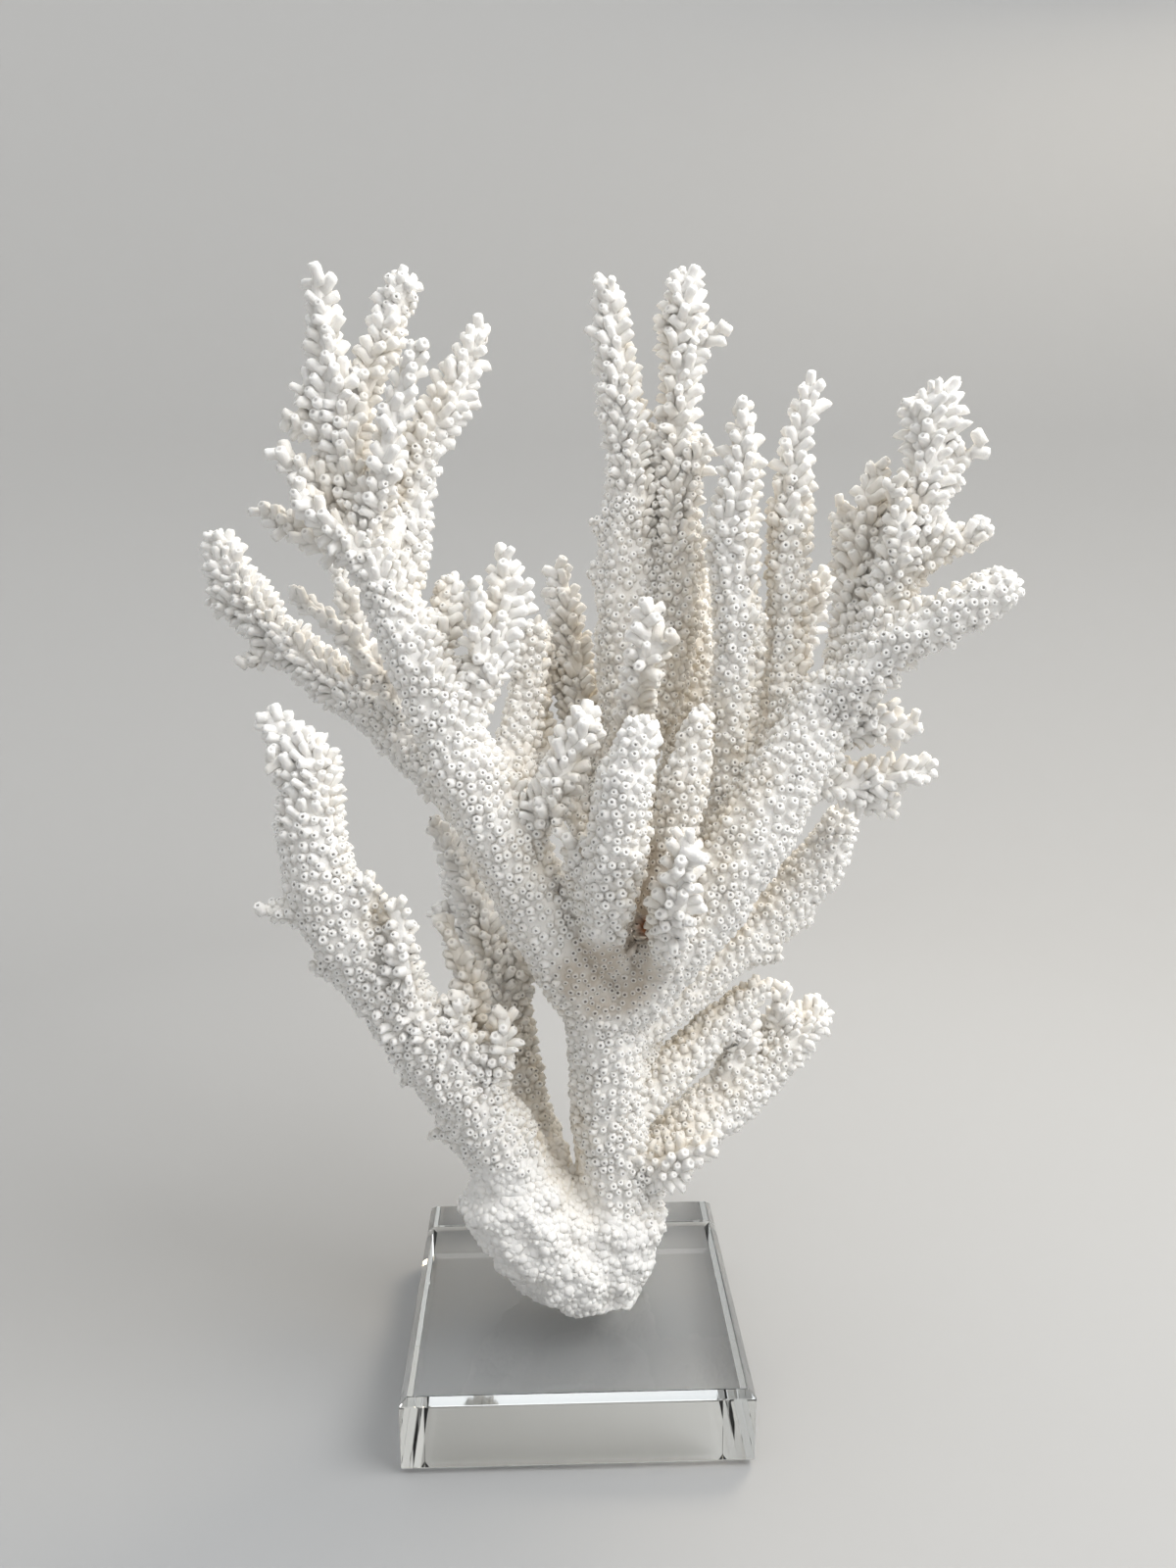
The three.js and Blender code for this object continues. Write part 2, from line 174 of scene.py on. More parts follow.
@dataclass
class Skin:
    """A closed mesh of quads as arrays, with what is known at each of its points."""

    points: np.ndarray
    faces: np.ndarray
    edges: np.ndarray = field(init=False)
    from_foot: np.ndarray = field(init=False)
    from_tip: np.ndarray = field(init=False)
    tips: np.ndarray = field(init=False)
    radius: np.ndarray = field(init=False)
    growth: np.ndarray = field(init=False)
    shade: np.ndarray = field(init=False)
    outline: np.ndarray = field(init=False)
    cup_room: np.ndarray = field(init=False)

    def __post_init__(self) -> None:
        """Finds the edges once, as the faces never change."""
        sides = np.concatenate([self.faces[:, [i, (i + 1) % 4]] for i in range(4)])
        self.edges = np.unique(np.sort(sides, axis=1), axis=0)

    def normals(self) -> np.ndarray:
        """Averages the face normals at each point."""
        a, b, c, d = (self.points[self.faces[:, i]] for i in range(4))
        across = np.cross(c - a, d - b)
        total = np.zeros_like(self.points)
        for i in range(4):
            np.add.at(total, self.faces[:, i], across)
        return unit(total)

    def mean_of_neighbours(self, values: np.ndarray) -> np.ndarray:
        """Averages a value over each point's neighbours.

        Args:
            values: One value or one row for each point.

        Returns:
            The averages, in the same shape.
        """
        flat = values.reshape(len(values), -1)
        a, b = self.edges.T
        count = np.bincount(self.edges.ravel(), minlength=len(self.points))
        made = np.empty_like(flat)
        for i in range(flat.shape[1]):
            column = flat[:, i]
            total = np.bincount(a, column[b], len(column)) + np.bincount(b, column[a], len(column))
            made[:, i] = total / np.maximum(count, 1)
        return made.reshape(values.shape)

    def soften(self, values: np.ndarray, rounds: int) -> np.ndarray:
        """Blurs a value over the skin by averaging it with its neighbours.

        Args:
            values: One value or one row for each point.
            rounds: How often to average.

        Returns:
            The blurred values.
        """
        for _ in range(rounds):
            values = 0.5 * (values + self.mean_of_neighbours(values))
        return values

    def round_off(self, rounds: int, inward: float = 0.55, outward: float = -0.57) -> None:
        """Takes the facets off the skin without shrinking it, by smoothing in and out in turn.

        Args:
            rounds: How many pairs of steps.
            inward: Share of the way to the neighbours' mean on the first step.
            outward: Share on the second step, negative and slightly larger.
        """
        for _ in range(rounds):
            for share in (inward, outward):
                self.points += share * (self.mean_of_neighbours(self.points) - self.points)

    def walk(self, starts: np.ndarray) -> np.ndarray:
        """Measures the distance over the skin from the nearest of some points.

        Args:
            starts: Indices of the points to start from.

        Returns:
            The distance at each point.
        """
        a, b = self.edges.T
        lengths = np.linalg.norm(self.points[a] - self.points[b], axis=1)
        ends = np.concatenate([np.stack([a, b], 1), np.stack([b, a], 1)])
        order = np.argsort(ends[:, 0], kind="stable")
        first = np.searchsorted(ends[order, 0], np.arange(len(self.points) + 1)).tolist()
        other = ends[order, 1].tolist()
        step = np.concatenate([lengths, lengths])[order].tolist()
        reached = [math.inf] * len(self.points)
        queue = []
        for i in starts.tolist():
            reached[i] = 0.0
            queue.append((0.0, i))
        heapq.heapify(queue)
        while queue:
            gone, i = heapq.heappop(queue)
            if gone > reached[i]:
                continue
            for k in range(first[i], first[i + 1]):
                j = other[k]
                far = gone + step[k]
                if far < reached[j]:
                    reached[j] = far
                    heapq.heappush(queue, (far, j))
        return np.array(reached)

    def find_tips(self, rings: int, least_way: float, widest: float) -> np.ndarray:
        """Finds the limbs' tips: points further from the foot than all others within some rings.

        Args:
            rings: How many rings of neighbours a tip outdoes.
            least_way: How far from the foot a tip is at least.
            widest: The radius past which a swelling is no tip.

        Returns:
            Indices of the tips.
        """
        highest = self.from_foot.copy()
        a, b = self.edges.T
        for _ in range(rings):
            spread = highest.copy()
            np.maximum.at(spread, a, highest[b])
            np.maximum.at(spread, b, highest[a])
            highest = spread
        found = (self.from_foot >= highest) & (self.from_foot > least_way) & (self.radius < widest)
        return np.flatnonzero(found)

    def tree(self) -> BVHTree:
        """Gives the skin as a tree that rays can be cast against."""
        return BVHTree.FromPolygons(self.points.tolist(), self.faces.tolist())

    def measure(self) -> None:
        """Works out the distances from foot and tips, the local radius and the way of growth."""
        low = self.points[:, 2].min()
        self.from_foot = self.walk(np.flatnonzero(self.points[:, 2] < low + 2 * MM))
        normals = self.normals()
        tree = self.tree()
        across = np.empty(len(self.points))
        for i, (place, normal) in enumerate(zip(self.points, normals)):
            inside = Vector(place - normal * 0.05 * MM)
            hit = tree.ray_cast(inside, Vector(-normal))
            across[i] = hit[3] if hit[3] is not None else 4 * MM
        self.radius = self.soften(np.minimum(across, 40 * MM) / 2, rounds=8)
        self.tips = self.find_tips(rings=7, least_way=30 * MM, widest=7.5 * MM)
        self.from_tip = self.walk(self.tips)

        slope = np.zeros_like(self.points)
        a, b = self.edges.T
        along = self.points[b] - self.points[a]
        rise = (self.from_foot[b] - self.from_foot[a]) / np.maximum((along**2).sum(1), 1e-12)
        np.add.at(slope, a, along * rise[:, None])
        np.add.at(slope, b, along * rise[:, None])
        slope = self.soften(unit(slope), rounds=5)
        slope -= normals * (slope * normals).sum(1, keepdims=True)
        self.growth = unit(slope)

    def measure_shade(self, rays: int, reach: float) -> None:
        """Finds how closed in each point is by the limbs around it, from 0 in the open to 1.

        Args:
            rays: How many directions to try.
            reach: How far a ray looks.
        """
        tree = self.tree()
        normals = self.normals()
        steps = np.arange(rays) + 0.5
        up = 1 - 2 * steps / rays
        turn = steps * math.pi * (3 - math.sqrt(5))
        flat = np.sqrt(1 - up * up)
        ways = np.stack([flat * np.cos(turn), flat * np.sin(turn), up], 1)
        starts = self.points + normals * 0.6 * MM
        shade = np.zeros(len(self.points))
        weight = np.zeros(len(self.points))
        for way in ways:
            facing = normals @ way
            way_out = Vector(way)
            for i in np.flatnonzero(facing > 0.1):
                weight[i] += facing[i]
                if tree.ray_cast(Vector(starts[i]), way_out, reach)[0] is not None:
                    shade[i] += facing[i]
        # This closedness is later painted into the colour as shade in the hollows.
        self.shade = self.soften(shade / np.maximum(weight, 1e-6), rounds=14)


@dataclass
class LimbSkin:
    """Makes the limbs' skin from their solids: joined, rounded and drawn in to where the cups stand.

    The insets are the cups' heights. Each pair gives where a change along the limbs begins and ends.
    """

    nodes: list[str]
    fatten: float = 0.3 * MM
    voxel: float = 1.45 * MM
    rounding: int = 16
    thick_inset: float = 1.1 * MM
    thin_inset: float = 2.05 * MM
    thin_from_tip: Pair = (70 * MM, 22 * MM)
    thin_share: float = 0.43
    foot_inset: float = 0.6 * MM
    foot_heights: Pair = (82 * MM, 62 * MM)
    foot_from_tip: float = 60 * MM
    lump_radii: Pair = (2.5 * MM, 6 * MM)
    lumps: Lumps = Lumps(1.0 * MM, 9.0)
    ripples: Lumps = Lumps(0.42 * MM, 4.0, shift=7.0)
    foot_lumps: Lumps = Lumps(2.2 * MM, 8.0, shift=9.0)
    foot_ripples: Lumps = Lumps(0.792 * MM, 4.2, shift=13.0)

    def solids(self) -> bpy.types.Object:
        """Copies the limbs' solids into one object, with their loose triangles sewn up."""
        copies = []
        for name in self.nodes:
            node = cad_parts[name]
            copy = bpy.data.objects.new("limb_copy", node.data.copy())
            bpy.context.scene.collection.objects.link(copy)
            copies.append(copy)
        clear_selection()
        for copy in copies:
            copy.select_set(True)
        bpy.context.view_layer.objects.active = copies[0]
        bpy.ops.object.join()
        joined = bpy.context.object
        bpy.ops.object.mode_set(mode="EDIT")
        bpy.ops.mesh.select_all(action="SELECT")
        bpy.ops.mesh.remove_doubles(threshold=0.005 * MM)
        bpy.ops.object.mode_set(mode="OBJECT")
        return joined

    def build(self) -> Skin:
        """Builds the skin at the cups' rims, measures it, and draws it in to the cups' feet.

        Returns:
            The finished skin.
        """
        joined = self.solids()
        apply_modifier(joined, "DISPLACE", strength=self.fatten, mid_level=0.0)
        apply_modifier(joined, "REMESH", mode="VOXEL", voxel_size=self.voxel, adaptivity=0.0)
        mesh = joined.data
        points = np.empty(len(mesh.vertices) * 3)
        mesh.vertices.foreach_get("co", points)
        faces = np.array([p.vertices[:] for p in mesh.polygons])
        bpy.data.objects.remove(joined)
        skin = self.largest(points.reshape(-1, 3), faces)
        skin.round_off(self.rounding)
        log.info("skin: %d points, %d faces", len(skin.points), len(skin.faces))
        skin.measure()
        skin.outline = skin.points.copy()
        self.draw_in(skin)
        return skin

    @staticmethod
    def largest(points: np.ndarray, faces: np.ndarray) -> Skin:
        """Keeps the largest connected body and drops hollows inside it.

        Args:
            points: The points of all the bodies.
            faces: Corner indices of their quads.

        Returns:
            The skin of the largest body.
        """
        group = joined_groups(len(points), Skin(points, faces).edges)
        kept = group == np.bincount(group).argmax()
        number = np.cumsum(kept) - 1
        return Skin(points[kept], number[faces[kept[faces[:, 0]]]])

    def draw_in(self, skin: Skin) -> None:
        """Moves the skin in from the cups' rims to their feet, and makes it slightly lumpy.

        Args:
            skin: The skin to move.
        """
        normals = skin.normals()
        thin = smoothstep(*self.thin_from_tip, skin.from_tip)
        depth = self.thick_inset + (self.thin_inset - self.thick_inset) * thin
        depth = np.minimum(depth, self.thin_share * skin.radius)
        foot = smoothstep(*self.foot_heights, skin.points[:, 2]) * (skin.from_tip > self.foot_from_tip)
        depth += (self.foot_inset - depth) * foot
        depth = skin.soften(depth, rounds=6)
        skin.cup_room = depth.copy()
        depth += smoothstep(*self.lump_radii, skin.radius) * self.lumps.at(skin.points)
        depth += self.ripples.at(skin.points)
        depth += foot * (self.foot_lumps.at(skin.points) + self.foot_ripples.at(skin.points))
        skin.points -= normals * depth[:, None]
        skin.points[:, 2] = np.maximum(skin.points[:, 2], floor_height())


@dataclass
class Division:
    """Shares the skin out among the limbs, by the solid that each of its faces lies nearest to."""

    nodes: list[str]
    smoothing: int = 4
    smallest_patch: int = 120

    def share_out(self, skin: Skin) -> np.ndarray:
        """Finds the limb that each face belongs to.

        Args:
            skin: The skin to divide.

        Returns:
            The index of the limb in nodes, for each face.
        """
        corners, owners = [], []
        for i, name in enumerate(self.nodes):
            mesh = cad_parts[name].data
            corners += [[mesh.vertices[v].co for v in p.vertices] for p in mesh.polygons]
            owners += [i] * len(mesh.polygons)
        points = [corner for face in corners for corner in face]
        tree = BVHTree.FromPolygons(points, np.arange(len(points)).reshape(-1, 3).tolist())
        middles = skin.outline[skin.faces].mean(axis=1)
        labels = np.array([owners[tree.find_nearest(Vector(m))[2]] for m in middles])
        labels = self.vote(skin, labels, self.smoothing)
        return self.without_patches(skin, labels)

    def vote(self, skin: Skin, labels: np.ndarray, rounds: int) -> np.ndarray:
        """Gives each face the limb that most faces round it have; -1 has no vote.

        Args:
            skin: The skin being divided.
            labels: The limb of each face.
            rounds: How often to vote.

        Returns:
            The new limb of each face.
        """
        for _ in range(rounds):
            votes = np.zeros((len(skin.points), len(self.nodes)), np.float32)
            known = np.flatnonzero(labels >= 0)
            for i in range(4):
                np.add.at(votes, (skin.faces[known, i], labels[known]), 1)
            labels = votes[skin.faces].sum(axis=1).argmax(axis=1)
        return labels

    def without_patches(self, skin: Skin, labels: np.ndarray) -> np.ndarray:
        """Gives small cut-off patches to the limb around them.

        Args:
            skin: The skin being divided.
            labels: The limb of each face.

        Returns:
            The new limb of each face.
        """
        sides = np.concatenate([skin.faces[:, [i, (i + 1) % 4]] for i in range(4)])
        sides.sort(axis=1)
        owners = np.tile(np.arange(len(labels)), 4)
        order = np.lexsort(sides.T)
        sides, owners = sides[order], owners[order]
        met = (sides[1:] == sides[:-1]).all(axis=1) & (labels[owners[1:]] == labels[owners[:-1]])
        patch = joined_groups(len(labels), np.stack([owners[:-1][met], owners[1:][met]], axis=1))
        labels[np.bincount(patch, minlength=len(labels))[patch] < self.smallest_patch] = -1
        while (labels < 0).any():
            voted = self.vote(skin, labels, 1)
            touching = np.zeros(len(skin.points), bool)
            touching[skin.faces[labels >= 0]] = True
            ready = (labels < 0) & touching[skin.faces].any(axis=1)
            labels = np.where(ready, voted, labels)
        return labels


# ---- The cups ----


class Form(Enum):
    """The forms that a cup grows in, from the tips of the limbs down to the worn foot."""

    TIP = "tip"
    SCALE = "scale"
    RING = "ring"
    PIT = "pit"
    GRAIN = "grain"


@dataclass
class CupMesh:
    """A modelled cup as arrays, in millimetres: +Z out of the limb, +Y towards the limb's tip."""

    points: np.ndarray
    triangles: np.ndarray
    hollow: np.ndarray


@dataclass(frozen=True)
class CupShape:
    """Sizes of one form of cup in millimetres: a tube that closes in to a small mouth.

    The profile gives the height and radius of each ring, from the root under the skin to the mouth. The
    lean is in degrees, and the shade is how dark the hole is, from 0 to 1.
    """

    sides: int
    lean: float
    profile: tuple[Pair, ...]
    hole_depth: float
    hole_shade: float

    @staticmethod
    def select_top(piece: bpy.types.Object) -> None:
        """Selects only the highest face in edit mode.

        Args:
            piece: The object being edited.
        """
        bpy.ops.object.mode_set(mode="OBJECT")
        mesh = piece.data
        for group in (mesh.vertices, mesh.edges, mesh.polygons):
            group.foreach_set("select", [False] * len(group))
        max(mesh.polygons, key=lambda p: p.center.z).select = True
        bpy.ops.object.mode_set(mode="EDIT")

    def model(self) -> CupMesh:
        """Models the cup from a cone: the wall is drawn up ring by ring, and the mouth is pushed in.

        Returns:
            The cup as arrays, leaning towards the limb's tip.
        """
        (low, root_radius), (high, last_radius), *rings = self.profile
        clear_selection()
        bpy.ops.mesh.primitive_cone_add(
            vertices=self.sides,
            radius1=root_radius,
            radius2=last_radius,
            depth=high - low,
            location=(0, 0, (high + low) / 2),
        )
        piece = bpy.context.object
        bpy.ops.object.transform_apply(location=True)
        bpy.ops.object.mode_set(mode="EDIT")
        bpy.ops.mesh.select_mode(type="FACE")
        self.select_top(piece)
        for height, radius in rings:
            bpy.ops.mesh.extrude_region_move(TRANSFORM_OT_translate={"value": (0, 0, height - high)})
            share = radius / last_radius
            bpy.ops.transform.resize(value=(share, share, 1), center_override=(0, 0, height))
            high, last_radius = height, radius
        bpy.ops.mesh.extrude_region_move(TRANSFORM_OT_translate={"value": (0, 0, -self.hole_depth)})
        bpy.ops.mesh.select_mode(type="VERT")
        bpy.ops.mesh.merge(type="CENTER")
        bpy.ops.object.mode_set(mode="OBJECT")
        mesh = piece.data
        bottom = next(v.index for v in mesh.vertices if v.select)
        bpy.ops.object.mode_set(mode="EDIT")
        bpy.ops.mesh.select_all(action="SELECT")
        bpy.ops.mesh.quads_convert_to_tris()
        bpy.ops.object.mode_set(mode="OBJECT")
        piece.rotation_euler.x = -math.radians(self.lean)
        bpy.ops.object.transform_apply(rotation=True)
        points = np.array([v.co[:] for v in mesh.vertices])
        triangles = np.array([p.vertices[:] for p in mesh.polygons])
        inside = (triangles == bottom).any(axis=1)
        # Painted shade: the mouth's inner triangles are dark, darkest at the bottom of the hole.
        hollow = np.where(inside[:, None], np.where(triangles == bottom, 1.0, 0.55), 0.0)
        bpy.data.objects.remove(piece)
        return CupMesh(points, triangles, hollow * self.hole_shade)


SHAPES = {
    Form.TIP: CupShape(
        8, 0, ((-1.6, 1.7), (0.6, 1.5), (1.7, 1.55), (2.35, 1.4), (2.65, 1.02), (2.6, 0.55)), 0.8, 0.3
    ),
    Form.SCALE: CupShape(6, 40, ((-1.4, 1.75), (0.5, 1.34), (1.9, 1.42), (2.75, 1.15), (2.9, 0.5)), 0.6, 0.3),
    Form.RING: CupShape(6, 20, ((-0.6, 1.8), (0.7, 1.22), (1.42, 1.02), (1.4, 0.4)), 0.8, 0.75),
    Form.PIT: CupShape(6, 0, ((-0.6, 1.5), (0.1, 1.0), (0.4, 0.76), (0.38, 0.44)), 0.22, 1.0),
    Form.GRAIN: CupShape(5, 10, ((-0.6, 1.75), (0.3, 1.1), (0.5, 0.4)), 0.04, 0.0),
}


@dataclass(frozen=True)
class Stain:
    """A patch where an old film shows: its middle and reach in millimetres, and its strength."""

    middle_mm: Triple
    reach_mm: float
    strength: float

    def at(self, points: np.ndarray, wander: np.ndarray) -> np.ndarray:
        """Gives the film's strength at points.

        Args:
            points: Places, one a row.
            wander: How far the film's edge wanders at each of them.

        Returns:
            The strength at each point, 0 outside the patch.
        """
        away = np.linalg.norm(points - np.array(self.middle_mm) * MM, axis=1) + wander
        reach = self.reach_mm * MM
        return self.strength * smoothstep(reach, 0.55 * reach, away)


FORK_STAINS = (
    Stain((10, -17, 138), 19, 0.85),
    Stain((20, -15, 156), 15, 1.0),
    Stain((18, -13, 172), 10, 0.9),
)


@dataclass
class CupField:
    """Where the cups stand on the skin, and how each one grows.

    Each pair gives where a change along the limbs begins and ends, or the least and the most of a size.
    """

    skin: Skin
    rng: np.random.Generator
    tries: int = 240_000
    scale_spacing: float = 2.72 * MM
    ring_spacing: float = 2.3 * MM
    pit_spacing: float = 1.75 * MM
    grain_spacing: float = 1.75 * MM
    stout_closer: float = 0.24
    stout_radii: Pair = (4.5 * MM, 9 * MM)
    zone_wander: Lumps = Lumps(9 * MM, 14.0, shift=3.0)
    stain_wander: Lumps = Lumps(2.5 * MM, 5.0, shift=5.0)
    tubular_from_tip: Pair = (64 * MM, 24 * MM)
    sunny_side: Triple = (0.74, 0.15, 0.65)
    sunny_facing: Pair = (0.15, 0.85)
    sunny_share: float = 0.5
    bare_radii: Pair = (7.5 * MM, 10 * MM)
    bare_share: float = 0.6
    worn_heights: Pair = (84 * MM, 66 * MM)
    worn_from_tip: Pair = (40 * MM, 60 * MM)
    turn_spread: float = math.radians(24)
    nod_spread: float = math.radians(10)
    widths: Pair = (0.82, 1.18)
    heights: Pair = (0.85, 1.15)
    swell: Lumps = Lumps(0.5, 6.0, shift=11.0)
    tall_share: float = 0.05
    tall_height: float = 1.4
    scale_room: float = 1.55 * MM
    scale_heights: Pair = (0.8, 1.32)
    grain_widths: Pair = (0.6, 1.5)
    grain_heights: Pair = (0.3, 1.9)
    roughness_mm: float = 0.045
    # Extra painted shade in the valleys between the cups.
    valley_painted_shade: float = 0.1
    rim_shade: float = 0.65
    face: np.ndarray = field(init=False)
    place: np.ndarray = field(init=False)
    axes: np.ndarray = field(init=False)
    tubular: np.ndarray = field(init=False)
    worn: np.ndarray = field(init=False)
    forked: np.ndarray = field(init=False)
    form: np.ndarray = field(init=False)
    shade: np.ndarray = field(init=False)
    room: np.ndarray = field(init=False)
    stout: np.ndarray = field(init=False)

    def zones(self) -> tuple[np.ndarray, np.ndarray, np.ndarray]:
        """Divides the skin by how its cups grow.

        Returns:
            How tubular, how worn and how stained by the fork's film each point is, from 0 to 1.
        """
        skin = self.skin
        wander = self.zone_wander.at(skin.points)
        sunny = smoothstep(*self.sunny_facing, skin.normals() @ np.array(self.sunny_side))
        tubular = smoothstep(*self.tubular_from_tip, skin.from_tip + wander)
        tubular = np.clip(tubular + self.sunny_share * sunny, 0, 1)
        tubular *= 1 - self.bare_share * smoothstep(*self.bare_radii, skin.radius)
        worn = smoothstep(*self.worn_heights, skin.points[:, 2] + wander)
        worn *= smoothstep(*self.worn_from_tip, skin.from_tip)
        edge = self.stain_wander.at(skin.points)
        forked = np.maximum.reduce([stain.at(skin.points, edge) for stain in FORK_STAINS])
        return tubular, worn, forked

    def scatter(self) -> None:
        """Throws candidate places at the skin and keeps those that stand far enough from the rest."""
        skin, rng = self.skin, self.rng
        tubular, worn, forked = self.zones()
        stout = smoothstep(*self.stout_radii, skin.radius)
        scale_spacing = self.scale_spacing * (1 - self.stout_closer * stout)
        spacing = self.ring_spacing + (scale_spacing - self.ring_spacing) * tubular
        spacing += (self.grain_spacing - spacing) * worn
        spacing += (self.pit_spacing - spacing) * forked
        corners = skin.points[skin.faces]
        area = np.linalg.norm(np.cross(corners[:, 2] - corners[:, 0], corners[:, 3] - corners[:, 1]), axis=1)
        chance = area / spacing[skin.faces].mean(axis=1) ** 2
        face = rng.choice(len(skin.faces), self.tries, p=chance / chance.sum())
        u, v = rng.random((2, self.tries))
        share = np.stack([(1 - u) * (1 - v), u * (1 - v), u * v, (1 - u) * v], axis=1)
        place = (corners[face] * share[:, :, None]).sum(axis=1)

        def at(values: np.ndarray) -> np.ndarray:
            """Reads a value of the skin at the candidates.

            Args:
                values: One value or one row for each point of the skin.

            Returns:
                The values at the candidates.
            """
            picked = values[skin.faces[face]]
            weights = share if picked.ndim == 2 else share[:, :, None]
            return (picked * weights).sum(axis=1)

        kept = self.spread(place, at(spacing))
        normal = unit(at(skin.normals()))[kept]
        growth = at(skin.growth)[kept]
        growth = unit(growth - normal * (growth * normal).sum(axis=1, keepdims=True))
        self.face, self.place = face[kept], place[kept]
        self.axes = np.stack([np.cross(growth, normal), growth, normal], axis=1)
        self.tubular, self.worn, self.forked = (at(x)[kept] for x in (tubular, worn, forked))
        self.shade = at(skin.shade)[kept]
        self.room = at(skin.cup_room)[kept]
        self.stout = at(stout)[kept]

    @staticmethod
    def spread(place: np.ndarray, spacing: np.ndarray) -> np.ndarray:
        """Keeps each candidate that stands clear of those kept before it.

        Args:
            place: The candidates' places.
            spacing: How far each one keeps from the others.

        Returns:
            Indices of the kept candidates.
        """
        cell = float(spacing.max())
        keys = np.floor(place / cell).astype(int).tolist()
        places, reach = place.tolist(), (spacing**2).tolist()
        around = [(i, j, k) for i in (-1, 0, 1) for j in (-1, 0, 1) for k in (-1, 0, 1)]
        grid: dict[tuple[int, int, int], list[Triple]] = {}
        kept = []
        for n, ((i, j, k), (x, y, z)) in enumerate(zip(keys, places)):
            near = reach[n]
            for di, dj, dk in around:
                for a, b, c in grid.get((i + di, j + dj, k + dk), ()):
                    if (a - x) ** 2 + (b - y) ** 2 + (c - z) ** 2 < near:
                        break
                else:
                    continue
                break
            else:
                grid.setdefault((i, j, k), []).append((x, y, z))
                kept.append(n)
        return np.array(kept)

    def crown_tips(self) -> None:
        """Turns the cup nearest each limb's tip into the one that the limb grows by."""
        for tip in self.skin.points[self.skin.tips]:
            nearest = np.argmin(((self.place - tip) ** 2).sum(axis=1))
            self.form[nearest] = Form.TIP.value

    def choose_forms(self) -> None:
        """Gives each cup its form by where it stands."""
        chance = self.rng.random(len(self.place))
        names = np.full(len(self.place), Form.RING.value, dtype="U8")
        names[self.tubular > 0.25 + 0.5 * chance] = Form.SCALE.value
        names[self.forked > 0.1 + 0.25 * chance] = Form.PIT.value
        names[self.worn > 0.12 + 0.75 * chance] = Form.GRAIN.value
        self.form = names
        self.crown_tips()

    def grow(self, form: Form, cup: CupMesh) -> tuple[np.ndarray, ...]:
        """Sets copies of a modelled cup at all the places of its form.

        Args:
            form: The form to set.
            cup: Its modelled cup.

        Returns:
            The copies' points, their tones at each corner of their triangles, and the faces they stand on.
        """
        rng = self.rng
        here = np.flatnonzero(self.form == form.value)
        count = len(here)
        turn = rng.normal(0, self.turn_spread, count)
        nod = rng.normal(0, self.nod_spread, count)
        side, growth, normal = self.axes[here].transpose(1, 0, 2)
        cos, sin = np.cos(turn)[:, None], np.sin(turn)[:, None]
        side, growth = side * cos + growth * sin, growth * cos - side * sin
        cos, sin = np.cos(nod)[:, None], np.sin(nod)[:, None]
        growth, normal = growth * cos + normal * sin, normal * cos - growth * sin
        width = rng.uniform(*self.widths, count)
        height = width * (1 + 0.5 * self.swell.at(self.place[here])) * rng.uniform(*self.heights, count)
        if form in (Form.RING, Form.SCALE):
            height *= np.where(rng.random(count) < self.tall_share, self.tall_height, 1.0)
        if form is Form.RING:
            height *= (0.95 + 0.7 * self.tubular[here]) * (1 - 0.5 * self.worn[here])
        if form is Form.SCALE:
            width *= 1.14 - 0.35 * self.stout[here]
            height *= np.clip(self.room[here] / self.scale_room, *self.scale_heights)
        if form is Form.GRAIN:
            width *= rng.uniform(*self.grain_widths, count)
            height *= rng.uniform(*self.grain_heights, count)
        local = np.repeat(cup.points[None], count, axis=0)
        local += rng.normal(0, self.roughness_mm, local.shape)
        local[:, :, :2] *= width[:, None, None]
        local[:, :, 2] *= np.where(local[:, :, 2] > 0, height[:, None], 1.0)
        places = self.place[here][:, None, :] + MM * (
            local[:, :, 0:1] * side[:, None, :]
            + local[:, :, 1:2] * growth[:, None, :]
            + local[:, :, 2:3] * normal[:, None, :]
        )
        places[:, :, 2] = np.maximum(places[:, :, 2], floor_height())
        lift = np.clip(cup.points[:, 2] / max(cup.points[:, 2].max(), 1e-6), 0, 1)[cup.triangles]
        tones = np.empty((count, *cup.triangles.shape, 3))
        shade, film = self.shade[here][:, None, None], self.forked[here][:, None, None]
        # Painted shade: each cup is darkest at its foot, with extra shade in the valleys between cups, and
        # lighter towards its rim.
        valley = shade + self.valley_painted_shade * (1 - shade)
        tones[..., 0] = valley * (1 - lift) + self.rim_shade * shade * lift
        tones[..., 1] = film * (1 - (0.5 if form is Form.PIT else 0.3) * lift)
        tones[..., 2] = cup.hollow
        return places, tones, self.face[here]


# ---- Finishes ----


